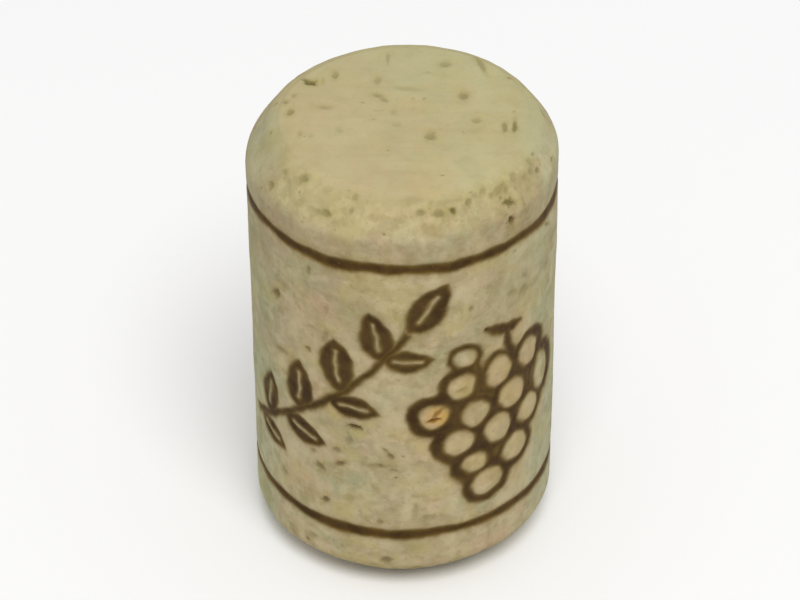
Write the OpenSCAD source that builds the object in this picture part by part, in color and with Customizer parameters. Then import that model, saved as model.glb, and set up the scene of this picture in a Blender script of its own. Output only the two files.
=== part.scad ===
// Straight bottle stopper, turned from one piece of cork and bevelled at both ends.
// It stands on one end: the origin is the middle of that end, and +Z runs along the axis.

/* [Body] */
// Diameter of the straight side
stopper_d = 24; // [16:0.5:60]
// Length from one end face to the other
stopper_l = 38; // [20:1:120]

/* [Bevels] */
// How far each bevel reaches in across the end face
bevel_across = 2.3; // [0.6:0.1:4]
// How far each bevel reaches along the side
bevel_along = 2.3; // [0.6:0.1:6]
// Radius that softens the two corners of each bevel
corner_r = 0.8; // [0.1:0.1:0.8]

/* [Hidden] */
$fn = 96;
// Straight steps in each rounded corner
corner_steps = 6;

half_l = stopper_l / 2;
// Slope of a bevel, measured from the end face
bevel_slope = atan2(bevel_along, bevel_across);
// From the sharp corner that a round replaces to the place where the round starts
face_run = corner_r * tan(bevel_slope / 2);
side_run = corner_r * tan((90 - bevel_slope) / 2);

// Points of a round, from one direction to another about its centre
function round_points(centre, from_angle, to_angle) = [
    for (i = [0 : corner_steps])
        let (angle = from_angle + (to_angle - from_angle) * i / corner_steps)
            centre + corner_r * [cos(angle), sin(angle)]
];

// Edge of the section above the middle, from the side in to the end face
upper_edge = concat(
    round_points(
        [stopper_d / 2 - corner_r, half_l - bevel_along - side_run],
        0,
        90 - bevel_slope
    ),
    round_points(
        [stopper_d / 2 - bevel_across - face_run, half_l - corner_r],
        90 - bevel_slope,
        90
    )
);

// The same edge below the middle, from the end face out to the side
lower_edge = [
    for (i = [len(upper_edge) - 1 : -1 : 0])
        [upper_edge[i][0], -upper_edge[i][1]]
];

module stopper() {
    color([0.72, 0.66, 0.50])
        translate([0, 0, half_l])
            rotate_extrude()
                polygon(concat([[0, -half_l]], lower_edge, upper_edge, [[0, half_l]]));
}

stopper();
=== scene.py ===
"""A straight wine cork: bevelled ends, pores, and a vine sprig and a bunch of grapes burnt
between two rings. Shapes are worked out in millimetres and put into the scene in metres."""
import itertools
import math

import bpy
import numpy as np
from mathutils import Matrix, Vector


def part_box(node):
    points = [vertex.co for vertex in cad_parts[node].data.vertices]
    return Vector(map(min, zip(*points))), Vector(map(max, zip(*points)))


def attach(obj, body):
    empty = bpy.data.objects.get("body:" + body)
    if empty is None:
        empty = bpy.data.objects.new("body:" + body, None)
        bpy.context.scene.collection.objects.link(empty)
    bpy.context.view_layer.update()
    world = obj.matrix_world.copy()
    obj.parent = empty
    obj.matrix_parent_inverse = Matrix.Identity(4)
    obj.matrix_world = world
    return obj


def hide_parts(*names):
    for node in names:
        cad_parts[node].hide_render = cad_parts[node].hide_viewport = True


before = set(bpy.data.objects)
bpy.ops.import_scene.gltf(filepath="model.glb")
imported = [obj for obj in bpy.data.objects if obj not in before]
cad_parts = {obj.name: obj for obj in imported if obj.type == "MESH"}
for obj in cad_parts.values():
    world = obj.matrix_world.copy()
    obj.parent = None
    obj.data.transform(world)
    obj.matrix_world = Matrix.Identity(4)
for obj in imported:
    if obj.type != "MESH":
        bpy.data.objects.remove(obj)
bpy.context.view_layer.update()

MM = 0.001
cad_low, cad_high = (Vector(corner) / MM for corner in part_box("stopper"))
RADIUS = (cad_high.x - cad_low.x) / 2
LENGTH = cad_high.z - cad_low.z
GIRTH = 2 * math.pi * RADIUS
END_HEIGHTS = {"bottom": 0.0, "top": LENGTH}

# -------- formulas
# The burnt ornament is drawn by formulas that take either numpy arrays, to sink it into the
# mesh, or wires of a shader tree, to colour it.


class Wire:
    """A number in a shader tree. Arithmetic on it adds Math nodes."""

    __array_ufunc__ = None

    def __init__(self, tree, socket):
        self.tree = tree
        self.socket = socket

    def __add__(self, other):
        return math_node("ADD", self, other)

    def __sub__(self, other):
        return math_node("SUBTRACT", self, other)

    def __rsub__(self, other):
        return math_node("SUBTRACT", other, self)

    def __mul__(self, other):
        return math_node("MULTIPLY", self, other)

    def __truediv__(self, other):
        return math_node("DIVIDE", self, other)

    def __neg__(self):
        return math_node("MULTIPLY", self, -1.0)

    __radd__ = __add__
    __rmul__ = __mul__


def math_node(operation, *values):
    """Adds a Math node to the wires' own tree."""
    tree = next(value.tree for value in values if isinstance(value, Wire))
    node = tree.nodes.new("ShaderNodeMath")
    node.operation = operation
    for socket, value in zip(node.inputs, values):
        plug(tree, socket, value)
    return Wire(tree, node.outputs[0])


def plug(tree, socket, value):
    """Links a wire to a socket, or sets the socket to a plain value."""
    if isinstance(value, Wire):
        tree.links.new(value.socket, socket)
    else:
        socket.default_value = value


def for_both(operation, on_arrays):
    """A function of numbers that adds a Math node if one of them is a wire."""

    def apply(*values):
        if any(isinstance(value, Wire) for value in values):
            return math_node(operation, *values)
        return on_arrays(*values)

    return apply


def smooth_minimum(a, b, width):
    """The smaller of a and b, rounded off where they differ by less than width."""
    near = np.maximum(width - np.abs(a - b), 0) / width
    return np.minimum(a, b) - near ** 3 * width / 6


sine = for_both("SINE", np.sin)
root = for_both("SQRT", np.sqrt)
absolute = for_both("ABSOLUTE", np.abs)
larger = for_both("MAXIMUM", np.maximum)
smaller = for_both("MINIMUM", np.minimum)
melt = for_both("SMOOTH_MIN", smooth_minimum)


def fade(value, start, end):
    """0 where value is at start and 1 where it is at end, smoothly between."""
    if isinstance(value, Wire):
        node = value.tree.nodes.new("ShaderNodeMapRange")
        node.interpolation_type = "SMOOTHSTEP"
        for name, number in (("Value", value), ("From Min", start), ("From Max", end)):
            plug(value.tree, node.inputs[name], number)
        return Wire(value.tree, node.outputs["Result"])
    part = np.clip((value - start) / (end - start), 0, 1)
    return part * part * (3 - 2 * part)


def reach(across, up):
    """The length of a step that far across and up."""
    return root(across * across + up * up)


# -------- burnt ornament
# Places are (u, z): u runs round the side from the middle of the front, to the right, and z
# runs up from the end that the cork stands on.

# Rings: height, half width, how the middle line wavers, and how the half width swells. A wave
# has its number of turns round the cork, its strength and its phase.
RINGS = (
    (
        5.95,
        0.475,
        ((1, 0.075, -3.0), (4, 0.075, 0.35), (2, 0.035, -1.0), (11, 0.035, -1.0), (29, 0.02, 0.5)),
        ((2, 0.030, 1.9), (4, 0.055, 3.0), (11, 0.040, 0.5), (26, 0.020, 0.8)),
    ),
    (
        32.63,
        0.505,
        ((1, 0.065, -3.1), (4, 0.060, 0.15), (7, 0.080, 2.45), (17, 0.045, -0.4), (31, 0.02, 2.0)),
        ((4, 0.035, 2.4), (7, 0.045, -1.25), (17, 0.030, 3.1), (26, 0.025, -1.95)),
    ),
)

# Berries: middle u, z, half width, half height, the width of the line round it, and how far
# the line sits to the left
BERRIES = (
    (2.4, 17.95, 1.18, 1.15, 0.95, 0.16),
    (4.65, 20.4, 1.15, 1.2, 0.8, 0.1),
    (4.9, 23.25, 1.0, 0.82, 0.6, 0.0),
    (8.0, 20.7, 1.2, 1.45, 0.65, 0.0),
    (11.4, 20.65, 1.2, 1.25, 0.95, -0.15),
    (5.85, 17.35, 1.15, 1.2, 0.8, 0.0),
    (9.45, 17.65, 1.42, 1.3, 0.8, 0.0),
    (13.4, 17.45, 1.1, 1.75, 0.8, -0.45),
    (4.42, 14.85, 1.24, 1.15, 1.0, 0.15),
    (8.0, 14.9, 1.32, 1.32, 0.75, 0.0),
    (11.45, 14.9, 1.28, 1.2, 0.8, 0.0),
    (5.8, 12.25, 1.1, 0.9, 1.05, 0.1),
    (9.85, 11.95, 1.33, 1.27, 0.8, 0.0),
    (7.0, 9.9, 1.4, 1.26, 0.9, 0.0),
)
BUNCH_MIDDLE = (8.0, 16.5)

# Stalk, and places where the lines round berries run together: end points and the half width
# at each
STALK = (
    ((6.7, 25.4), 0.28, (7.4, 24.95), 0.44),
    ((7.4, 24.95), 0.44, (8.2, 24.6), 0.52),
    ((8.2, 24.65), 0.54, (9.3, 24.55), 0.46),
    ((9.3, 24.55), 0.46, (10.2, 24.65), 0.24),
    ((8.7, 24.2), 0.38, (8.8, 23.2), 0.36),
    ((8.8, 23.2), 0.36, (9.5, 21.6), 0.45),
    ((5.9, 22.2), 0.32, (6.3, 20.6), 0.36),
    ((6.3, 20.6), 0.36, (6.35, 19.4), 0.38),
    ((6.4, 19.4), 0.36, (6.95, 19.1), 0.36),
    ((11.9, 19.1), 0.28, (11.7, 18.4), 0.4),
    ((11.6, 18.8), 0.4, (11.6, 17.1), 0.42),
    ((12.9, 20.4), 0.36, (13.9, 19.4), 0.36),
)

# Sprig: where its stem starts and ends, how far the stem bows down, and its half width
STEM_START = (-15.6, 11.9)
STEM_END = (0.4, 26.4)
STEM_BOW = 1.3
STEM_HALF_WIDTH = 0.36
# Leaves: how far along the stem, side (1 is up), half length, half width
LEAVES = (
    (0.05, -1, 2.1, 1.05),
    (0.13, 1, 2.3, 1.2),
    (0.26, -1, 2.2, 1.2),
    (0.36, 1, 2.6, 1.4),
    (0.54, -1, 2.1, 1.15),
    (0.6, 1, 2.7, 1.5),
    (0.84, -1, 2.0, 1.1),
    (0.84, 1, 2.4, 1.35),
)
TIP_LEAF = (2.7, 1.45)
LEAF_ANGLE = math.radians(50)
# How much narrower a leaf is towards its tip, and its light midrib: the part of the leaf's
# length that it takes, and its half width
LEAF_TAPER = 0.12
RIB_PART = 0.5
RIB_HALF_WIDTH = 0.12

# How widely neighbours run together: the outlines of berries, bars, and leaves
BERRY_MELT = 1.0
BAR_MELT = 0.4
LEAF_MELT = 0.3

# How the print wanders, sideways and upwards. A wave has its strength, and how fast it goes with
# u and with z.
WANDER = (
    ((0.07, 0.9, 1.7), (0.035, -2.9, 4.3)),
    ((0.07, 1.5, -0.8), (0.035, 3.9, 2.2)),
)

# The burn is a warmer brown on the rings, which lie this far or farther from the print's middle
PRINT_MIDDLE = 19.3
RING_FADE = (11.0, 12.0)


def wobble(u, z):
    """The place, shifted a little, as a hot stamp's edge wanders on cork."""
    shifted = [u, z]
    for axis, waves in enumerate(WANDER):
        for strength, pace_u, pace_z in waves:
            shifted[axis] = shifted[axis] + strength * sine(pace_u * u + pace_z * z)
    return shifted


def bar(u, z, start, start_half, end, end_half):
    """Distance outside a bar with round ends that widens from start to end."""
    run = (end[0] - start[0], end[1] - start[1])
    length = math.hypot(*run)
    du = u - start[0]
    dz = z - start[1]
    along = (du * run[0] + dz * run[1]) / length
    across = absolute((dz * run[0] - du * run[1]) / length)
    place = smaller(larger(along, 0.0), length)
    half = start_half + place * ((end_half - start_half) / length)
    return reach(along - place, across) - half


def oval(u, z, middle_u, middle_z, half_u, half_z):
    """Distance outside an oval."""
    out = reach((u - middle_u) * (1 / half_u), (z - middle_z) * (1 / half_z))
    return (out - 1.0) * min(half_u, half_z)


def bunch(u, z):
    """Distance outside the lines of the bunch of grapes."""
    skin = light = None
    for middle_u, middle_z, half_u, half_z, line, lean in BERRIES:
        berry = oval(u, z, middle_u, middle_z, half_u, half_z)
        light = berry if light is None else smaller(light, berry)
        outer = oval(u, z, middle_u - lean, middle_z, half_u + line, half_z + line)
        skin = outer if skin is None else melt(skin, outer, BERRY_MELT)
    lines = larger(skin, -light)
    for start, start_half, end, end_half in STALK:
        lines = melt(lines, bar(u, z, start, start_half, end, end_half), BAR_MELT)
    return lines


def leaf(u, z, foot, angle, half_length, half_width):
    """Distance outside a pointed leaf with a light midrib."""
    middle = (foot[0] + half_length * math.cos(angle), foot[1] + half_length * math.sin(angle))
    du = u - middle[0]
    dz = z - middle[1]
    along = du * math.cos(angle) + dz * math.sin(angle)
    across = absolute(dz * math.cos(angle) - du * math.sin(angle))
    curve = (half_length ** 2 + half_width ** 2) / (2 * half_width)
    fuller = across * (1.0 + along * (LEAF_TAPER / half_length)) + (curve - half_width)
    blade = reach(along, fuller) - curve
    past_rib = larger(absolute(along) - RIB_PART * half_length, 0.0)
    return larger(blade, RIB_HALF_WIDTH - reach(past_rib, across))


def sprig(u, z):
    """Distance outside a vine sprig, a bowed stem with a leaf on each side in turn."""
    run = (STEM_END[0] - STEM_START[0], STEM_END[1] - STEM_START[1])
    chord = math.hypot(*run)
    slope = math.atan2(run[1], run[0])
    bow_radius = (chord ** 2 / 4 + STEM_BOW ** 2) / (2 * STEM_BOW)
    half_sweep = math.asin(chord / 2 / bow_radius)
    middle = [(a + b) / 2 for a, b in zip(STEM_START, STEM_END)]
    centre = (
        middle[0] - (bow_radius - STEM_BOW) * math.sin(slope),
        middle[1] + (bow_radius - STEM_BOW) * math.cos(slope),
    )
    # The stem is an arc, cut off square where it starts and ends
    stem = absolute(reach(u - centre[0], z - centre[1]) - bow_radius) - STEM_HALF_WIDTH
    along = (u - middle[0]) * math.cos(slope) + (z - middle[1]) * math.sin(slope)
    shape = larger(stem, absolute(along) - chord / 2)

    def stem_point(part):
        """The point that far along the stem, and the stem's heading there."""
        turn = slope - math.pi / 2 + (2 * part - 1) * half_sweep
        point = (centre[0] + bow_radius * math.cos(turn), centre[1] + bow_radius * math.sin(turn))
        return point, turn + math.pi / 2

    for part, side, half_length, half_width in LEAVES:
        foot, heading = stem_point(part)
        blade = leaf(u, z, foot, heading + side * LEAF_ANGLE, half_length, half_width)
        shape = melt(shape, blade, LEAF_MELT)
    foot, heading = stem_point(1.0)
    return melt(shape, leaf(u, z, foot, heading, *TIP_LEAF), LEAF_MELT)


def waves_at(u, waves):
    """The sum of waves that run a whole number of times round the cork."""
    total = 0.0
    for turns, strength, phase in waves:
        total = total + strength * sine(u * (turns / RADIUS) + phase)
    return total


def rings(u, z):
    """Distance outside the two rings."""
    shape = None
    for height, half_width, waver, swell in RINGS:
        ring = absolute(z - height - waves_at(u, waver)) - half_width - waves_at(u, swell)
        shape = ring if shape is None else smaller(shape, ring)
    return shape


def ornament(u, z):
    """Distance outside the burnt ornament, negative on it."""
    shape = rings(u, z)
    moved_u, moved_z = wobble(u, z)
    shape = smaller(shape, bunch(moved_u, moved_z))
    return smaller(shape, sprig(moved_u, moved_z))


# -------- pores
# Each pore has a place, two half sizes, a turn in degrees, a depth and how dark it is.

# On the side: u, z
SIDE_PORES = (
    (-3.9, 16.65, 0.55, 0.26, 0, 0.32, 0.95),
    (-1.0, 14.1, 0.34, 0.2, -50, 0.14, 0.65),
    (-1.5, 14.75, 0.37, 0.15, -45, 0.06, 0.45),
    (-2.1, 13.05, 1.05, 0.26, 2, 0.04, 0.4),
    (-1.85, 13.05, 0.26, 0.2, 0, 0.08, 0.65),
    (-0.9, 12.65, 0.34, 0.18, -5, 0.07, 0.45),
    (-5.5, 13.8, 0.38, 0.27, 30, 0.08, 0.55),
    (-5.2, 12.45, 0.48, 0.22, 35, 0.14, 0.7),
    (-7.05, 11.45, 0.4, 0.38, 20, 0.11, 0.7),
    (-7.7, 12.7, 0.37, 0.27, 60, 0.07, 0.45),
    (-6.6, 8.1, 0.42, 0.24, 50, 0.2, 0.8),
    (-11.0, 8.6, 0.4, 0.33, 70, 0.07, 0.4),
    (-1.95, 7.1, 0.26, 0.25, 0, 0.08, 0.55),
    (-1.5, 3.1, 0.47, 0.39, -10, 0.12, 0.7),
    (-8.5, 2.9, 0.21, 0.2, 0, 0.1, 0.65),
    (-8.0, 3.6, 0.6, 0.35, 10, 0.06, 0.3),
    (-1.1, 8.5, 0.53, 0.33, 0, 0.03, 0.3),
    (-2.3, 10.4, 0.42, 0.33, 85, 0.03, 0.2),
    (-4.4, 15.3, 0.63, 0.27, 85, 0.03, 0.35),
    (-11.4, 26.5, 0.62, 0.32, 45, 0.22, 0.7),
    (-7.65, 30.9, 0.42, 0.18, 85, 0.08, 0.5),
    (-6.3, 24.9, 0.63, 0.24, 70, 0.04, 0.4),
    (-7.9, 23.0, 0.32, 0.26, 30, 0.14, 0.65),
    (-6.1, 27.7, 0.4, 0.2, 70, 0.04, 0.3),
    (-7.6, 25.4, 0.42, 0.17, 10, 0.04, 0.3),
    (-10.9, 21.2, 0.79, 0.26, 10, 0.04, 0.4),
    (9.0, 34.8, 0.46, 0.24, -65, 0.28, 0.9),
    (10.5, 27.4, 0.47, 0.39, -15, 0.06, 0.45),
    (9.2, 27.8, 0.42, 0.27, -10, 0.03, 0.3),
    (10.5, 28.7, 0.42, 0.2, -35, 0.03, 0.3),
    (5.3, 28.0, 0.29, 0.18, 85, 0.07, 0.5),
    (14.0, 31.3, 0.63, 0.18, -35, 0.08, 0.55),
    (2.0, 7.6, 0.75, 0.35, 0, 0.06, 0.35),
    (0.9, 8.5, 0.58, 0.26, 85, 0.03, 0.35),
    (1.0, 9.9, 0.42, 0.17, 0, 0.03, 0.3),
    (1.2, 13.3, 0.4, 0.35, 0, 0.05, 0.2),
    (2.25, 17.6, 0.48, 0.2, 8, 0.2, 1.0),
    (2.7, 18.35, 0.63, 0.21, 48, 0.04, 0.65),
    (4.6, 20.1, 0.53, 0.24, 5, 0.06, 0.55),
)
# On the bevel at the top: degrees round from the front, part of the way down it
BEVEL_PORES = (
    (-66, 0.12, 1.0, 0.5, -30, 0.04, 0.2),
    (-58, 0.33, 0.38, 0.19, 0, 0.05, 0.3),
    (-60, 0.74, 0.35, 0.27, 10, 0.1, 0.55),
    (-47, 0.2, 0.43, 0.32, 10, 0.1, 0.5),
    (-34, 0.7, 0.62, 0.2, 0, 0.05, 0.35),
    (-31, 0.67, 0.38, 0.26, 0, 0.1, 0.55),
    (-21, 0.17, 0.3, 0.23, 90, 0.07, 0.4),
    (-21, 0.47, 0.28, 0.18, 90, 0.07, 0.4),
    (4, 0.12, 0.75, 0.3, 0, 0.03, 0.25),
    (7, 0.42, 0.34, 0.24, 0, 0.09, 0.5),
    (14, 0.49, 0.45, 0.27, -10, 0.11, 0.6),
    (16, 0.25, 0.9, 0.28, 0, 0.04, 0.2),
    (20, 0.47, 0.26, 0.2, 90, 0.24, 0.85),
    (27, 0.38, 0.33, 0.24, 60, 0.09, 0.5),
    (31, 0.27, 0.28, 0.24, 0, 0.05, 0.3),
    (35, 0.24, 0.3, 0.27, 0, 0.07, 0.4),
    (38, 0.42, 0.28, 0.24, 0, 0.07, 0.4),
    (42, 0.38, 0.75, 0.27, 15, 0.06, 0.4),
    (45, 0.5, 0.28, 0.2, 90, 0.05, 0.35),
    (44, 0.8, 0.52, 0.2, -30, 0.24, 0.85),
    (44, 0.78, 0.38, 0.16, 50, 0.11, 0.7),
    (51, 0.33, 0.45, 0.27, 70, 0.05, 0.35),
    (57, 0.48, 0.38, 0.14, 0, 0.04, 0.25),
    (61, 0.5, 0.38, 0.3, 0, 0.05, 0.35),
    (50, 1.0, 0.5, 0.15, 90, 0.04, 0.3),
)
# On the top face: x, y
TOP_PORES = (
    (-7.0, 4.6, 0.4, 0.3, -20, 0.45, 1.0),
    (-7.4, 4.9, 0.35, 0.14, -30, 0.3, 0.9),
    (-5.15, 5.5, 0.48, 0.24, 85, 0.09, 0.45),
    (-6.1, 4.8, 0.47, 0.14, 90, 0.04, 0.2),
    (-1.9, 4.8, 0.44, 0.26, 85, 0.06, 0.35),
    (-1.9, 2.95, 0.38, 0.26, -35, 0.07, 0.4),
    (-1.4, 2.4, 0.32, 0.2, -45, 0.06, 0.35),
    (0.6, 3.7, 1.05, 0.26, -10, 0.03, 0.2),
    (3.35, 6.95, 0.42, 0.36, 0, 0.14, 0.4),
    (4.75, 2.8, 0.46, 0.32, 90, 0.1, 0.55),
    (5.65, -0.35, 0.34, 0.32, 0, 0.07, 0.35),
    (7.75, -1.15, 0.6, 0.18, 90, 0.1, 0.55),
    (8.5, -1.0, 0.68, 0.16, 86, 0.18, 0.7),
    (2.1, -2.35, 0.48, 0.4, 80, 0.12, 0.5),
    (-8.55, 0.85, 0.44, 0.22, 80, 0.11, 0.55),
    (-8.95, 2.1, 0.25, 0.22, 90, 0.09, 0.5),
    (-5.95, 1.4, 0.47, 0.26, 0, 0.04, 0.3),
    (6.1, 6.9, 1.05, 0.19, -72, 0.07, 0.45),
    (9.7, -4.7, 0.38, 0.3, 0, 0.08, 0.3),
    (8.3, 5.2, 0.21, 0.17, 0, 0.07, 0.5),
    (-7.75, -1.9, 0.36, 0.16, 90, 0.04, 0.3),
    (-6.95, -2.2, 0.25, 0.22, 90, 0.03, 0.2),
    (-4.8, -1.5, 0.38, 0.24, -60, 0.03, 0.2),
    (-0.7, 0.8, 0.27, 0.22, 90, 0.03, 0.2),
    (-0.45, -0.9, 0.36, 0.24, -40, 0.03, 0.2),
    (-1.1, 7.8, 0.68, 0.12, 90, 0.05, 0.3),
    (-8.3, 2.95, 0.25, 0.19, 80, 0.04, 0.3),
)
# Soft yellow patches on the side: u, z, half width, half height, strength
YELLOW_PATCHES = (
    (-5.0, 7.6, 1.1, 0.9, 0.8),
    (-5.8, 18.2, 0.9, 1.1, 0.8),
    (-3.6, 16.0, 0.9, 0.4, 0.9),
    (-2.6, 17.4, 0.7, 0.7, 0.5),
    (1.4, 15.0, 0.6, 0.9, 0.7),
    (-3.6, 4.6, 1.4, 0.6, 0.5),
    (1.2, 4.3, 1.0, 0.9, 0.5),
    (-6.0, 26.0, 0.9, 0.5, 0.4),
    (6.2, 31.6, 1.2, 0.5, 0.4),
    (4.9, 20.0, 1.0, 0.9, 0.8),
)


RIGHT, BACK, UP = np.eye(3)


def directions(angle):
    """Outwards and sideways, at that angle round the cork from its front."""
    outward = np.array((math.sin(angle), -math.cos(angle), 0.0))
    sideways = np.array((math.cos(angle), math.sin(angle), 0.0))
    return outward, sideways


class Pores:
    """Where the pores are: middles, the two directions along the surface, and looks."""

    def __init__(self, seed):
        self.rows = []
        self.rng = np.random.default_rng(seed)

    def add(self, middle, sideways, upward, half_length, half_width, turn, depth, dark):
        turn = math.radians(turn)
        first = sideways * math.cos(turn) + upward * math.sin(turn)
        second = upward * math.cos(turn) - sideways * math.sin(turn)
        self.rows.append((middle, first, second, half_length, half_width, depth, dark))

    def on_side(self, u, z, *looks):
        outward, sideways = directions(u / RADIUS)
        self.add(outward * RADIUS + UP * z, sideways, UP, *looks)

    def on_end(self, end, x, y, *looks):
        self.add(np.array((x, y, END_HEIGHTS[end])), RIGHT, BACK, *looks)

    def on_bevel(self, end, degrees, part, *looks):
        angle = math.radians(degrees)
        outward, sideways = directions(angle)
        across, along = bevel_size(end, np.array(angle - math.pi / 2))
        inward = -1.0 if end == "top" else 1.0
        start = outward * (RADIUS - across) + UP * END_HEIGHTS[end]
        slope = outward * across + UP * (inward * along)
        upward = -slope / np.linalg.norm(slope)
        self.add(start + slope * part, sideways, upward, *looks)

    def random_looks(self, size):
        """The looks of a pore whose half length is about that size."""
        half_length = size * self.rng.uniform(0.5, 1.2)
        half_width = half_length * self.rng.uniform(0.3, 0.7)
        depth = half_length * self.rng.uniform(0.4, 0.9)
        turn = self.rng.normal(0, 25)
        dark = self.rng.uniform(0.25, 0.7)
        return half_length, half_width, turn, depth, dark

    def scatter_on_side(self, count, size, around, margin):
        """Pores between two parts of the way round, outside a margin at each end."""
        for _ in range(count):
            u = self.rng.uniform(*around) * GIRTH
            z = self.rng.uniform(margin, LENGTH - margin)
            self.on_side(u, z, *self.random_looks(size))

    def scatter_on_end(self, end, count, size, margin):
        """Pores on an end face, inside a margin at the cork's full radius."""
        for _ in range(count):
            away = (RADIUS - margin) * math.sqrt(self.rng.uniform(0, 1))
            angle = self.rng.uniform(0, 2 * math.pi)
            x, y = away * math.cos(angle), away * math.sin(angle)
            self.on_end(end, x, y, *self.random_looks(size))

    def scatter_on_bevel(self, end, count, size, around, down):
        """Pores between two angles round a bevel, and two parts of the way down it."""
        for _ in range(count):
            degrees = self.rng.uniform(*around)
            part = self.rng.uniform(*down)
            self.on_bevel(end, degrees, part, *self.random_looks(size))


def all_pores():
    """The listed pores, small ones all over, and larger ones where the lists don't reach."""
    pores = Pores(seed=7)
    for row in SIDE_PORES:
        pores.on_side(*row)
    for row in BEVEL_PORES:
        pores.on_bevel("top", *row)
    for row in TOP_PORES:
        pores.on_end("top", *row)
    pores.scatter_on_side(count=34, size=0.36, around=(0.22, 0.78), margin=3.0)
    pores.scatter_on_side(count=90, size=0.13, around=(0.0, 1.0), margin=2.5)
    for end in ("top", "bottom"):
        pores.scatter_on_end(end, count=14, size=0.12, margin=2.6)
        pores.scatter_on_bevel(end, count=26, size=0.15, around=(0, 360), down=(0.05, 1.0))
    pores.scatter_on_end("bottom", count=16, size=0.36, margin=3.0)
    pores.scatter_on_bevel("top", count=18, size=0.34, around=(60, 300), down=(0.1, 0.9))
    pores.scatter_on_bevel("bottom", count=26, size=0.34, around=(0, 360), down=(0.1, 0.9))
    return pores.rows


# -------- shape of the cork

# The phase that makes a sine wave a cosine
COSINE = math.pi / 2
# Bevels: how far each reaches across its end face, and along the side. Each reach has a mean,
# and waves round the cork, as a ring's middle line has.
BEVELS = {
    "bottom": (
        (2.34, ((1, 0.20, COSINE), (3, 0.04, 1.4))),
        (2.05, ((1, 0.20, COSINE), (1, -0.31, 0.0))),
    ),
    "top": (
        (2.10, ((1, -0.22, COSINE), (1, -0.12, 0.0), (2, -0.12, COSINE), (3, 0.04, COSINE))),
        (2.54, ((1, -0.28, COSINE), (1, 0.17, 0.0))),
    ),
}
# Where a bevel departs from its waves: degrees round, how much farther it reaches across the
# end face, and how much farther along the side
BEVEL_HUMPS = {
    "bottom": (),
    "top": ((12, 0.0, 0.08), (42, -0.13, 0.0), (115, 0.13, 0.0), (168, 0.0, 0.46)),
}
HUMP_SHARPNESS = 12

# The flat grid of each end face stops this far inside the bevel
FACE_MARGIN = 1.6
# The bevel's corners are rounded: a point becomes the mean of points at these parts of a reach
# before and after it. At the top's rim the reach is longer by these parts of itself: all round,
# and left and right on top of that.
CORNER_TAPS = np.arange(-4, 5) / 5
CORNER_REACH = 0.75
TOP_RIM_EXTRA = (0.4, 0.5)


def hump(angle, degrees):
    """1 at that many degrees round the cork, and 0 well away from there."""
    return ((1 + np.cos(angle - math.radians(degrees))) / 2) ** HUMP_SHARPNESS


def bevel_size(end, angle):
    """How far the bevel reaches across the end face and along the side. It was ground by hand,
    so it isn't the same all round. The angle is measured from +X towards +Y."""
    across, along = (mean + waves_at(RADIUS * angle, waves) for mean, waves in BEVELS[end])
    for degrees, more_across, more_along in BEVEL_HUMPS[end]:
        across = across + more_across * hump(angle, degrees)
        along = along + more_along * hump(angle, degrees)
    return across, along


def lumps(points, size, seed):
    """A smooth random field from -1 to 1 whose lumps are of that size."""
    table = np.random.default_rng(seed).uniform(-1, 1, (32, 32, 32))
    cell = np.floor(points / size).astype(int)
    part = points / size - cell
    part = part * part * (3 - 2 * part)
    total = np.zeros(len(points))
    for corner in itertools.product((0, 1), repeat=3):
        weight = np.prod(np.where(corner, part, 1 - part), axis=1)
        total += weight * table[tuple(((cell + corner) % 32).T)]
    return total


def side_grid(columns, rows):
    """Points of the side and both bevels, from the bottom face's rim to the top face's. The
    first column is where the end grids have their first corner."""
    angles = -math.pi / 4 + 2 * math.pi * np.arange(columns) / columns
    low_across, low_along = bevel_size("bottom", angles)
    top_across, top_along = bevel_size("top", angles)
    low_rim, top_rim = RADIUS - low_across, RADIUS - top_across
    full = np.full(columns, RADIUS)
    low, top = np.zeros(columns), np.full(columns, LENGTH)
    knots_r = np.stack([low_rim - FACE_MARGIN, low_rim, full, full, top_rim, top_rim - FACE_MARGIN])
    knots_z = np.stack([low, low, low_along, LENGTH - top_along, top, top])
    points = np.empty((rows + 1, columns, 3))
    for column, angle in enumerate(angles):
        r, z = knots_r[:, column], knots_z[:, column]
        way = np.concatenate([[0], np.cumsum(np.hypot(np.diff(r), np.diff(z)))])
        steps = np.linspace(0, way[-1], rows + 1)
        extra = TOP_RIM_EXTRA[0] + TOP_RIM_EXTRA[1] * abs(math.cos(angle))
        spread = CORNER_REACH * (1 + extra * fade(steps, way[3], way[4]))
        spread = np.minimum(spread, np.minimum(steps, way[-1] - steps))
        places = steps + CORNER_TAPS[:, None] * spread
        smooth_r = np.interp(places, way, r).mean(axis=0)
        points[:, column, 0] = smooth_r * math.cos(angle)
        points[:, column, 1] = smooth_r * math.sin(angle)
        points[:, column, 2] = np.interp(places, way, z).mean(axis=0)
    return points


def end_grid(end, cells):
    """Points of a square grid bent into the disc of an end face."""
    a, b = np.meshgrid(*[np.linspace(-1, 1, cells + 1)] * 2, indexing="ij")
    wide = np.abs(a) > np.abs(b)
    safe_a = np.where(a == 0, 1, a)
    safe_b = np.where(b == 0, 1, b)
    away = np.where(wide, a, b)
    angle = np.where(wide, math.pi / 4 * b / safe_a, math.pi / 2 - math.pi / 4 * a / safe_b)
    x, y = away * np.cos(angle), away * np.sin(angle)
    across, _ = bevel_size(end, np.arctan2(y, x))
    rim = RADIUS - across - FACE_MARGIN
    return np.stack([x * rim, y * rim, np.full(x.shape, END_HEIGHTS[end])], axis=-1)


def rim_order(ids):
    """The grid's outer points, in the order of the side grid's columns."""
    return np.concatenate([ids[-1, :-1], ids[:0:-1, -1], ids[0, :0:-1], ids[:-1, 0]])


def quads(ids):
    """The four-cornered faces between the points of a grid."""
    corners = [ids[:-1, :-1], ids[1:, :-1], ids[1:, 1:], ids[:-1, 1:]]
    return np.stack(corners, axis=-1).reshape(-1, 4)


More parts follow.
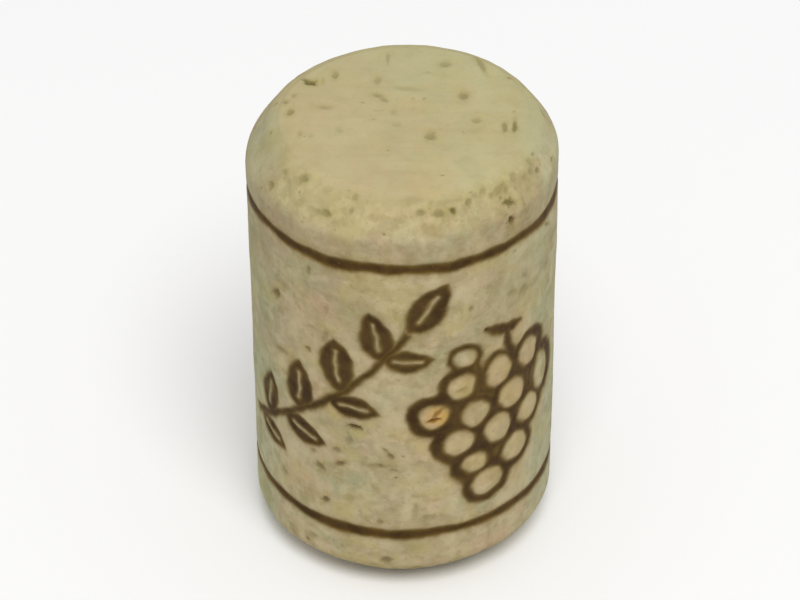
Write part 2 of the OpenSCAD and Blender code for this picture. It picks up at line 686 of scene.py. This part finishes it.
def closed_surface(columns, rows):
    """Points and four-cornered faces of the whole cork, before its surface is worked."""
    side = side_grid(columns, rows)
    cells = columns // 4
    side_ids = np.arange(side.shape[0] * columns).reshape(-1, columns)
    around = np.concatenate([side_ids, side_ids[:, :1]], axis=1)
    points = [side.reshape(-1, 3)]
    faces = [quads(around)[:, ::-1]]
    count = side_ids.size
    for end, rim_row, turned in (("bottom", side_ids[0], True), ("top", side_ids[-1], False)):
        grid = end_grid(end, cells)
        ids = np.full(grid.shape[:2], -1)
        inner = np.zeros(ids.shape, bool)
        inner[1:-1, 1:-1] = True
        ids[inner] = count + np.arange(inner.sum())
        count += inner.sum()
        flat = np.arange(ids.size).reshape(ids.shape)
        ids.flat[rim_order(flat)] = rim_row
        points.append(grid[inner])
        faces.append(quads(ids)[:, ::-1] if turned else quads(ids))
    return np.concatenate(points), np.concatenate(faces)


def normals_of(points, faces):
    """The direction outwards at each point, from the faces round it."""
    corners = points[faces]
    face_normals = np.cross(corners[:, 2] - corners[:, 0], corners[:, 3] - corners[:, 1])
    normals = np.zeros_like(points)
    for axis in range(3):
        spread = np.repeat(face_normals[:, axis], 4)
        normals[:, axis] = np.bincount(faces.ravel(), spread, len(points))
    return normals / np.linalg.norm(normals, axis=1, keepdims=True)


# Layers of lumps: strength, size and seed
BROAD_LUMPS = ((0.035, 7.0, 11), (0.020, 3.0, 12))
GRAIN_LUMPS = ((0.012, 1.1, 13), (0.008, 0.45, 14))
BEVEL_LUMPS = ((0.030, 1.6, 15), (0.020, 0.7, 16))
CRUMB_LUMPS = ((1.0, 0.8, 17), (0.4, 0.3, 18))
PRINT_LUMPS = ((0.020, 0.6, 19),)
PORE_EDGE_LUMPS = ((0.30, 0.30, 31), (0.22, 0.13, 32))
PATCH_EDGE_LUMPS = ((0.5, 0.9, 33), (0.3, 0.4, 34))

# Where a pore's hole, dark middle, warm halo and yellow flake start and where they are full, as
# distances from their own middle in the pore's half sizes
HOLE_FADE = (1.2, 0.4)
DARK_FADE = (1.6, 0.4)
HALO_FADE = (2.7, 0.9)
FLAKE_FADE = (1.3, 0.6)
# The flake's middle, in the pore's half sizes from the pore's own, and how yellow it is
FLAKE_PLACE = (1.5, 1.3)
FLAKE_YELLOW = 0.8
# Where a yellow patch starts and where it is full
PATCH_FADE = (1.5, 0.3)

# How far the worked surface lies inside the CAD's on average
INSET = 0.06
# How much more the radius is at the top than where the cork stands
TAPER = 0.10
# How far the upper part leans to the left, and the heights where that starts and is full
LEAN = 0.09
LEAN_HEIGHTS = (28.0, 34.0)
# A bevel is fully crumbly from this slant on where it faces the front or the back. Left and
# right it is only this part as crumbly, and the pair is where it changes from one to the other.
FULL_SLANT = 0.25
SMOOTH_PART = 0.15
CRUMBLY_FACING = (0.35, 0.60)
# The strength of the lumps at which a crumb begins to be missing and is gone, and its depth
CRUMB_FADE = (0.55, 0.95)
CRUMB_DEPTH = 0.06
# How deep the print is sunk, and how far outside its outline that starts and is full
PRINT_DEPTH = 0.06
PRINT_WALL = (0.12, -0.12)
# The print and the yellow patches are only on points that lie less than this inside the radius
SIDE_DEPTH = 0.4


def uneven(points, layers):
    """The sum of some layers of lumps."""
    return sum(strength * lumps(points, size, seed) for strength, size, seed in layers)


def pore_fields(points, rows):
    """Depth, darkness, warm halo and yellow flake that the pores give each point."""
    depth, dark, halo, flake = np.zeros((4, len(points)))
    ragged = 1 + uneven(points, PORE_EDGE_LUMPS)
    for middle, first, second, half_length, half_width, deep, darkness in rows:
        near = np.flatnonzero(((points - middle) ** 2).sum(axis=1) < (3 * half_length + 0.3) ** 2)
        offset = points[near] - middle
        beside = offset - first * (FLAKE_PLACE[0] * half_length)
        beside = beside - second * (FLAKE_PLACE[1] * half_width)
        for field, start, strength, limits in (
            (depth, offset, deep, HOLE_FADE),
            (dark, offset, darkness, DARK_FADE),
            (halo, offset, darkness, HALO_FADE),
            (flake, beside, darkness, FLAKE_FADE),
        ):
            out = np.hypot(start @ first / half_length, start @ second / half_width) * ragged[near]
            field[near] = np.maximum(field[near], strength * fade(out, *limits))
    return depth, dark, halo, flake


def yellow_field(points, u):
    """How yellow each point is, from the listed patches with ragged edges."""
    yellow = np.zeros(len(points))
    ragged = uneven(points, PATCH_EDGE_LUMPS)
    for middle_u, middle_z, half_u, half_z, strength in YELLOW_PATCHES:
        out = np.hypot((u - middle_u) / half_u, (points[:, 2] - middle_z) / half_z) + ragged
        yellow = np.maximum(yellow, strength * fade(out, *PATCH_FADE))
    return yellow


def bevel_field(normals, facing):
    """How crumbly each point is. Facing is 1 at the front and the back, and 0 left and right."""
    upright = np.hypot(normals[:, 0], normals[:, 1])
    slant = np.clip(1 - np.maximum(np.abs(normals[:, 2]), upright), 0, 1)
    crumbly = SMOOTH_PART + (1 - SMOOTH_PART) * fade(facing, *CRUMBLY_FACING)
    return np.clip(slant / FULL_SLANT, 0, 1) * crumbly


def work_surface(points, normals):
    """How far each point moves outwards, and the fields that its colour needs."""
    x, y, z = points.T
    # An end's middle lies on the axis, and nothing is divided by 0 there
    away = np.maximum(np.hypot(x, y), 1e-6)
    bevel = bevel_field(normals, np.abs(y) / away)
    broad = uneven(points, BROAD_LUMPS)
    taper = TAPER * (z / LENGTH - 0.5) * np.hypot(normals[:, 0], normals[:, 1])
    lean = -LEAN * fade(z, *LEAN_HEIGHTS) * normals[:, 0]
    grain = uneven(points, GRAIN_LUMPS)
    coarse = bevel * uneven(points, BEVEL_LUMPS)
    crumbs = bevel * CRUMB_DEPTH * fade(uneven(points, CRUMB_LUMPS), *CRUMB_FADE)
    u = RADIUS * np.arctan2(x, -y)
    on_side = away > RADIUS - SIDE_DEPTH
    burnt = np.where(on_side, fade(ornament(u, z), *PRINT_WALL), 0)
    sunk = burnt * (PRINT_DEPTH + uneven(points, PRINT_LUMPS))
    depth, dark, halo, flake = pore_fields(points, all_pores())
    move = broad + taper + lean + grain + coarse - crumbs - sunk - depth - INSET
    yellow = np.where(on_side, yellow_field(points, u), 0)
    yellow = np.maximum(yellow, FLAKE_YELLOW * flake)
    return move, {"pore": dark, "halo": halo, "bevel": bevel, "yellow": yellow}


def add_object(name, data):
    """A new object in the scene."""
    added = bpy.data.objects.new(name, data)
    bpy.context.scene.collection.objects.link(added)
    return added


def make_mesh(name, points, faces, fields):
    """A mesh of four-cornered faces, and its points' fields."""
    mesh = bpy.data.meshes.new(name)
    mesh.vertices.add(len(points))
    mesh.vertices.foreach_set("co", (points * MM).astype(np.float32).ravel())
    mesh.loops.add(faces.size)
    mesh.loops.foreach_set("vertex_index", faces.astype(np.int32).ravel())
    mesh.polygons.add(len(faces))
    mesh.polygons.foreach_set("loop_start", np.arange(0, faces.size, 4, dtype=np.int32))
    for field, values in fields.items():
        attribute = mesh.attributes.new(field, "FLOAT", "POINT")
        attribute.data.foreach_set("value", values.astype(np.float32))
    mesh.update(calc_edges=True)
    mesh.validate()
    return mesh


# Triangles that the finished mesh may have
MOST_TRIANGLES = 192_000


def thin_out(piece):
    """Takes triangles away where the surface is plain, and keeps them in the pores."""
    triangles = sum(len(face.vertices) - 2 for face in piece.data.polygons)
    if triangles > MOST_TRIANGLES:
        thinner = piece.modifiers.new("thinner", "DECIMATE")
        thinner.ratio = MOST_TRIANGLES / triangles
        thinner.use_collapse_triangulate = True
        graph = bpy.context.evaluated_depsgraph_get()
        mesh = bpy.data.meshes.new_from_object(piece.evaluated_get(graph))
        piece.modifiers.remove(thinner)
        dense = piece.data
        piece.data = mesh
        bpy.data.meshes.remove(dense)
    piece.data.name = piece.name


# The map's gap round its parts. Its discs take the faces that are less than this from an end's
# height, and more than this inside the full radius.
MAP_GAP = 1.0
DISC_HEIGHT = 1.2
DISC_INSET = 0.9


def unwrap(mesh):
    """A map of the surface: the side rolled out, and the two ends as discs below it."""
    points = np.empty(len(mesh.vertices) * 3, np.float32)
    mesh.vertices.foreach_get("co", points)
    points = points.reshape(-1, 3) / MM
    corners = np.empty(len(mesh.loops), np.int32)
    mesh.loops.foreach_get("vertex_index", corners)
    corner_points = points[corners].reshape(-1, 3, 3)
    middle = corner_points.mean(axis=1)
    angle = np.arctan2(corner_points[..., 0], -corner_points[..., 1])
    # A triangle across the seam at the back stays in one piece
    middle_angle = np.arctan2(middle[:, 0], -middle[:, 1])[:, None]
    angle = middle_angle + (angle - middle_angle + math.pi) % (2 * math.pi) - math.pi
    disc_v = RADIUS + 2 * MAP_GAP
    u = RADIUS * angle + GIRTH / 2 + MAP_GAP
    v = corner_points[..., 2] + 2 * disc_v
    for end, disc_u in (("top", disc_v), ("bottom", 3 * disc_v)):
        height = middle[:, 2] - END_HEIGHTS[end]
        inside = np.hypot(middle[:, 0], middle[:, 1]) < RADIUS - DISC_INSET
        on_disc = (np.abs(height) < DISC_HEIGHT) & inside
        u[on_disc] = corner_points[on_disc][..., 0] + disc_u
        v[on_disc] = corner_points[on_disc][..., 1] + disc_v
    scale = 1 / (GIRTH + 3 * MAP_GAP)
    layer = mesh.uv_layers.new(name="OFBake")
    layer.data.foreach_set("uv", (np.stack([u, v], axis=-1) * scale).astype(np.float32).ravel())


GRID = (752, 400)


def build_cork():
    points, faces = closed_surface(*GRID)
    normals = normals_of(points, faces)
    move, fields = work_surface(points, normals)
    points = points + normals * move[:, None]
    piece = add_object("cork", make_mesh("cork", points, faces, fields))
    thin_out(piece)
    piece.data.shade_smooth()
    unwrap(piece.data)
    return piece


# -------- materials


def tone(red, green, blue):
    """A colour as it is seen, 0 to 255, as the renderer wants it."""
    seen = (channel / 255 for channel in (red, green, blue))
    return (*(c / 12.92 if c <= 0.04045 else ((c + 0.055) / 1.055) ** 2.4 for c in seen), 1.0)


# The Mix node's sockets for colours, whose names others share
COLOUR_A, COLOUR_B, COLOUR_OUT = 6, 7, 2


class Shader:
    """A material's node tree, with short names for the nodes that are used here."""

    def __init__(self, name):
        self.material = bpy.data.materials.new(name)
        self.material.use_nodes = True
        self.tree = self.material.node_tree
        self.surface = self.tree.nodes["Principled BSDF"]

    def attribute(self, name):
        node = self.tree.nodes.new("ShaderNodeAttribute")
        node.attribute_name = name
        return Wire(self.tree, node.outputs["Fac"])

    def place(self):
        """The point on the object, in millimetres: as a vector and as three numbers."""
        source = self.tree.nodes.new("ShaderNodeTexCoord")
        scaled = self.tree.nodes.new("ShaderNodeVectorMath")
        scaled.operation = "SCALE"
        scaled.inputs["Scale"].default_value = 1 / MM
        self.tree.links.new(source.outputs["Object"], scaled.inputs[0])
        parts = self.tree.nodes.new("ShaderNodeSeparateXYZ")
        self.tree.links.new(scaled.outputs[0], parts.inputs[0])
        return scaled.outputs[0], *(Wire(self.tree, output) for output in parts.outputs)

    def noise(self, vector, size, detail=2.0, stretch=(1, 1, 1), shift=0.0):
        """Noise from 0 to 1 with lumps of that size, longer where stretch is more than 1."""
        moved = self.tree.nodes.new("ShaderNodeMapping")
        moved.inputs["Location"].default_value = (shift, shift, shift)
        moved.inputs["Scale"].default_value = [1 / (size * part) for part in stretch]
        self.tree.links.new(vector, moved.inputs["Vector"])
        node = self.tree.nodes.new("ShaderNodeTexNoise")
        node.inputs["Scale"].default_value = 1.0
        node.inputs["Detail"].default_value = detail
        self.tree.links.new(moved.outputs["Vector"], node.inputs["Vector"])
        return Wire(self.tree, node.outputs["Fac"])

    def mix(self, factor, first, second, how="MIX"):
        """A colour that goes from first to second, or to their product, as factor goes up to 1."""
        node = self.tree.nodes.new("ShaderNodeMix")
        node.data_type = "RGBA"
        node.blend_type = how
        plug(self.tree, node.inputs["Factor"], factor)
        plug(self.tree, node.inputs[COLOUR_A], first)
        plug(self.tree, node.inputs[COLOUR_B], second)
        return Wire(self.tree, node.outputs[COLOUR_OUT])


# Mottling: lump size in millimetres, a shift of the noise, how much there is on the side and on
# the ends, and the tone
MOTTLING = (
    (3.0, 40.0, 0.42, 0.15, (196, 160, 130)),
    (3.2, 80.0, 0.5, 0.16, (160, 163, 124)),
    (2.6, 15.0, 0.52, 0.09, (158, 142, 96)),
    (2.4, 95.0, 0.52, 0.1, (205, 191, 152)),
    (3.4, 25.0, 0.5, 0.24, (187, 169, 108)),
    (1.3, 65.0, 0.45, 0.12, (154, 138, 96)),
    (1.1, 35.0, 0.42, 0.1, (205, 190, 153)),
)
# Broad tones on the side and the top's bevel: u, z, radius, how much, and the tone
BROAD_TONES = (
    (-9.5, 14.0, 3.6, 0.4, (198, 187, 158)),
    (-0.5, 11.5, 3.2, 0.3, (198, 184, 148)),
    (-8.5, 23.5, 2.6, 0.35, (196, 180, 146)),
    (7.0, 26.5, 3.2, 0.28, (150, 142, 104)),
    (1.0, 5.0, 3.0, 0.32, (150, 134, 98)),
    (13.0, 8.0, 4.2, 0.32, (190, 184, 150)),
    (11.0, 29.0, 4.0, 0.32, (158, 159, 122)),
    # The next four, near the left and right edges, are greener and less red: painted shade and
    # sheen of the grazing edges
    (-14.5, 27.0, 3.0, 0.32, (150, 156, 122)),
    (-14.5, 17.0, 3.0, 0.32, (150, 156, 122)),
    (-17.5, 36.5, 4.5, 0.42, (166, 172, 138)),
    (17.5, 36.5, 4.5, 0.32, (180, 182, 144)),
    (-7.5, 37.0, 3.0, 0.3, (200, 188, 142)),
    (-16.0, 34.7, 2.4, 0.4, (188, 180, 142)),
    (-16.5, 37.4, 1.6, 0.45, (158, 146, 90)),
    (10.4, 33.8, 1.6, 0.42, (140, 124, 88)),
    (7.5, 31.2, 1.8, 0.3, (152, 142, 112)),
    (-7.0, 26.5, 2.6, 0.3, (188, 158, 126)),
)


class CorkShader(Shader):
    """The cork's material: what its layers share, and the colour they build up."""

    def __init__(self):
        super().__init__("cork")
        self.point, self.x, self.y, self.z = self.place()
        self.u = math_node("ARCTAN2", self.x, -self.y) * RADIUS
        self.on_end = fade(absolute(self.z - LENGTH / 2), LENGTH / 2 - 1.4, LENGTH / 2 - 0.4)
        self.bevel = self.attribute("bevel")
        self.pore = self.attribute("pore")
        self.grain = self.spots(0.38, 0.66, size=0.55, detail=3.0, shift=10.0)
        self.flecks = self.spots(0.60, 0.74, size=0.26, stretch=(1, 1, 1.4), shift=60.0)
        self.colour = None

    def spots(self, start, full, size, **looks):
        """Noise with lumps of that size, as 0 up to start and 1 from full on."""
        return fade(self.noise(self.point, size, **looks), start, full)

    def by_place(self, on_side, on_ends):
        """One amount for the side, and another for the ends."""
        return on_side + (on_ends - on_side) * self.on_end

    def lay(self, amount, colour, how="MIX"):
        """Lays a colour over the colour so far."""
        self.colour = self.mix(amount, self.colour, colour, how)


def lay_plain_cork(cork):
    """Patches of two tones, greener on the ends, and mottling over them."""
    patches = cork.spots(0.36, 0.64, size=5.0, detail=3.0)
    side_colour = cork.mix(patches, tone(174, 159, 125), tone(190, 173, 135))
    end_colour = cork.mix(patches, tone(181, 171, 128), tone(187, 178, 135))
    cork.colour = cork.mix(cork.on_end, side_colour, end_colour)
    for size, shift, on_side, on_ends, tint in MOTTLING:
        spots = cork.spots(0.50, 0.66, size=size, shift=shift)
        cork.lay(spots * cork.by_place(on_side, on_ends), tone(*tint))


def lay_broad_tones(cork):
    """Wide stretches that are pinker, greener or browner, and growth layers, with painted shade and
    sheen: the left and right edges greener and less red, the upper left darker.
    """
    x, y, z, on_end = cork.x, cork.y, cork.z, cork.on_end
    # The ends are pinker at their left, and greener at their back
    pinker = fade(x + 0.2 * y, 3.0, -3.0) * on_end
    cork.lay(pinker * 0.20, tone(192, 162, 126))
    greener = fade(y, 0.0, 8.0) * on_end
    cork.lay(greener * 0.35, tone(176, 174, 132))
    # Growth layers are thin upright sheets that run left and right
    layers = cork.spots(0.50, 0.78, size=0.7, stretch=(12, 1, 8), shift=20.0)
    cork.lay(layers * cork.by_place(0.22, 0.14), tone(158, 141, 98))
    # Left and right on its front half, the side is tinted greener and less red: painted shade and
    # sheen of the edges that turn away
    painted_edge_shade = fade(absolute(x), 8.5, 11.9) * fade(y, 9.0, -1.0) * (0.5 + 0.5 * fade(z, 30.0, 8.0))
    painted_edge_sheen_tint = (0.92, 1.10, 1.17, 1.0)
    cork.lay(painted_edge_shade, painted_edge_sheen_tint, "MULTIPLY")
    # It is browner just above the upper ring. Towards the top at its left the side is darkened:
    # painted shade
    strip = fade(z, 33.0, 33.4) * fade(z, 35.8, 34.4)
    cork.lay(strip * 0.32, tone(154, 136, 102))
    painted_upper_left_shade = fade(z, 24.0, 33.0) * fade(x, -3.0, -8.0)
    cork.lay(painted_upper_left_shade * (1.0 - on_end) * 0.22, tone(152, 134, 104))
    outer = fade(reach(x, y), 8.0, 10.5)
    for middle_u, middle_z, radius, amount, tint in BROAD_TONES:
        near = fade(reach(cork.u - middle_u, z - middle_z), 1.3 * radius, 0.3 * radius)
        cork.lay(near * outer * amount, tone(*tint))


def lay_grain(cork):
    """Pale grain and dark flecks, fainter on the ends."""
    cork.lay(cork.grain * cork.by_place(0.20, 0.06), tone(203, 189, 150))
    cork.lay(cork.flecks * cork.by_place(0.22, 0.09), tone(142, 122, 78))


def lay_bevels(cork):
    """Olive yellow, with paler crumbs and an olive stain between them, and yellow patches."""
    cork.lay(cork.bevel * 0.38, tone(171, 157, 106))
    crumbs = cork.spots(0.50, 0.62, size=1.0, detail=3.0, shift=30.0) * cork.bevel
    cork.lay(crumbs * 0.40, tone(199, 185, 137))
    stain = cork.spots(0.52, 0.66, size=1.1, detail=3.0, shift=55.0) * cork.bevel
    cork.lay(stain * 0.40, tone(154, 139, 90))
    cork.lay(cork.attribute("yellow") * 0.60, tone(192, 175, 110))


def lay_pores(cork):
    """A warm edge round a dark middle, greener on the ends and the bevels."""
    off_side = larger(cork.on_end, cork.bevel)
    edge = cork.mix(off_side, tone(162, 144, 92), tone(160, 149, 96))
    cork.lay(cork.attribute("halo") * 0.45, edge)
    middle = cork.mix(off_side, tone(98, 82, 44), tone(106, 98, 49))
    cork.lay(cork.pore * 0.85, middle)


def lay_berries(cork):
    """Inside the berries the cork is warmer, and in the first it goes from cream to gold."""
    u, z = cork.u, cork.z
    middle_u, middle_z = BUNCH_MIDDLE
    warmer = fade(reach((u - middle_u) * 0.9, (z - middle_z) * 0.75), 6.5, 4.5)
    cork.lay(warmer * 0.22, tone(202, 170, 116))
    first_u, first_z = BERRIES[0][:2]
    out = reach((u - first_u - 0.2) * 0.95, z - first_z)
    warm = fade(out + 0.4 * cork.grain, 1.9, 0.8)
    gold = cork.mix(fade(u + 0.3 * z, 7.3, 8.3), tone(200, 167, 116), tone(204, 166, 92))
    cork.lay(warm * (0.88 - 0.75 * cork.pore), gold)
    cork.lay(warm * cork.pore, tone(136, 92, 26))


def lay_print(cork):
    """The burnt ornament: brown at its edges, darker in its middle, and warmer on the rings.
    Gives how burnt each point is."""
    outside = ornament(cork.u, cork.z) + 0.04 * (cork.grain - 0.5)
    scorch = fade(outside, 0.60, 0.0)
    cork.lay(scorch * 0.30, tone(150, 128, 80))
    char = cork.spots(0.30, 0.70, size=1.6, detail=3.0, shift=50.0)
    edge = cork.mix(char, tone(78, 59, 20), tone(104, 82, 35))
    core = cork.mix(char, tone(61, 42, 19), tone(83, 62, 31))
    burn = cork.mix(fade(outside, -0.12, -0.42), edge, core)
    on_rings = fade(absolute(cork.z - PRINT_MIDDLE), *RING_FADE)
    warmer = (1.04, 1.0, 0.78, 1.0)
    burn = cork.mix(on_rings, burn, warmer, "MULTIPLY")
    burn = cork.mix(cork.flecks * 0.25, burn, tone(116, 94, 58))
    burnt = fade(outside, 0.24, -0.22)
    cork.lay(burnt, burn)
    return burnt


def add_relief(cork):
    """Cell grain as bump, coarser on the bevels and fainter on the end faces."""
    fine = cork.noise(cork.point, size=0.16, detail=3.0, shift=70.0)
    height = cork.grain * (0.5 + 0.4 * cork.bevel) + fine * (0.55 + 0.2 * cork.bevel)
    height = (height - cork.flecks * 0.7) * (1.0 - 0.4 * cork.on_end * (1.0 - cork.bevel))
    bump = cork.tree.nodes.new("ShaderNodeBump")
    bump.inputs["Strength"].default_value = 0.55
    bump.inputs["Distance"].default_value = 0.05 * MM
    plug(cork.tree, bump.inputs["Height"], height)
    cork.tree.links.new(bump.outputs["Normal"], cork.surface.inputs["Normal"])


def cork_material():
    cork = CorkShader()
    lay_plain_cork(cork)
    lay_broad_tones(cork)
    lay_grain(cork)
    lay_bevels(cork)
    lay_pores(cork)
    lay_berries(cork)
    burnt = lay_print(cork)
    plug(cork.tree, cork.surface.inputs["Base Color"], cork.colour)
    roughness = 0.80 + 0.12 * cork.grain - 0.14 * burnt
    plug(cork.tree, cork.surface.inputs["Roughness"], roughness)
    cork.surface.inputs["Specular IOR Level"].default_value = 0.12
    add_relief(cork)
    return cork.material


# -------- stage


def seen_directly(tree):
    """1 for the camera, and for what is seen in gloss or through glass, and 0 for light."""
    path = tree.nodes.new("ShaderNodeLightPath")
    seen = Wire(tree, path.outputs["Is Camera Ray"])
    for name in ("Is Glossy Ray", "Is Transmission Ray"):
        seen = larger(seen, Wire(tree, path.outputs[name]))
    return seen


def floor_material():
    """Nearly white as it is seen, and greyer in the light that it throws back."""
    shader = Shader("floor")
    thrown_back = (0.72, 0.72, 0.71, 1.0)
    seen = (0.97, 0.97, 0.97, 1.0)
    pale = shader.mix(seen_directly(shader.tree), thrown_back, seen)
    plug(shader.tree, shader.surface.inputs["Base Color"], pale)
    shader.surface.inputs["Roughness"].default_value = 0.9
    shader.surface.inputs["Specular IOR Level"].default_value = 0.0
    return shader.material


def make_floor():
    """A square floor, a hair below the cork."""
    half = 2.0
    mesh = bpy.data.meshes.new("floor")
    corners = [(-half, -half, 0), (half, -half, 0), (half, half, 0), (-half, half, 0)]
    mesh.from_pydata(corners, [], [(0, 1, 2, 3)])
    mesh.materials.append(floor_material())
    floor = add_object("floor", mesh)
    floor.location.z = -0.02 * MM


def make_world():
    """A sky that is white as it is seen, and softer in the light that it gives."""
    world = bpy.data.worlds.new("studio")
    bpy.context.scene.world = world
    world.use_nodes = True
    tree = world.node_tree
    backdrop = tree.nodes["Background"]
    light = 0.56
    plug(tree, backdrop.inputs["Strength"], light + (1.0 - light) * seen_directly(tree))
    backdrop.inputs["Color"].default_value = (1.0, 1.0, 1.0, 1.0)


def make_lamp(name, place, target, size, power):
    """A round lamp that faces the target."""
    lamp = bpy.data.lights.new(name, "AREA")
    lamp.size = size
    lamp.energy = power
    lamp.shape = "DISK"
    holder = add_object(name, lamp)
    holder.location = place
    holder.rotation_euler = (Vector(target) - Vector(place)).to_track_quat("-Z", "Y").to_euler()


def make_camera():
    """A long lens in front of the cork that looks down on it."""
    elevation = math.radians(39.16)
    roll = math.radians(-0.29)
    distance = 0.306
    aim = Vector((-0.00025, 0.0, 0.0201))
    camera = bpy.data.cameras.new("camera")
    camera.lens = 174.6
    camera.sensor_width = 36.0
    camera.clip_start = 0.01
    holder = add_object("camera", camera)
    away = Vector((0.0, -math.cos(elevation), math.sin(elevation))) * distance
    holder.matrix_world = (
        Matrix.Translation(aim + away)
        @ Matrix.Rotation(math.pi / 2 - elevation, 4, "X")
        @ Matrix.Rotation(roll, 4, "Z")
    )
    bpy.context.scene.camera = holder


make_camera()
make_floor()
make_world()
make_lamp("key", place=(0.08, -0.40, 0.80), target=(0, 0, 0.02), size=0.5, power=4.4)

cork = build_cork()
cork.data.materials.append(cork_material())
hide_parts("stopper")
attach(cork, "root")

bpy.context.scene.view_settings.view_transform = "Standard"
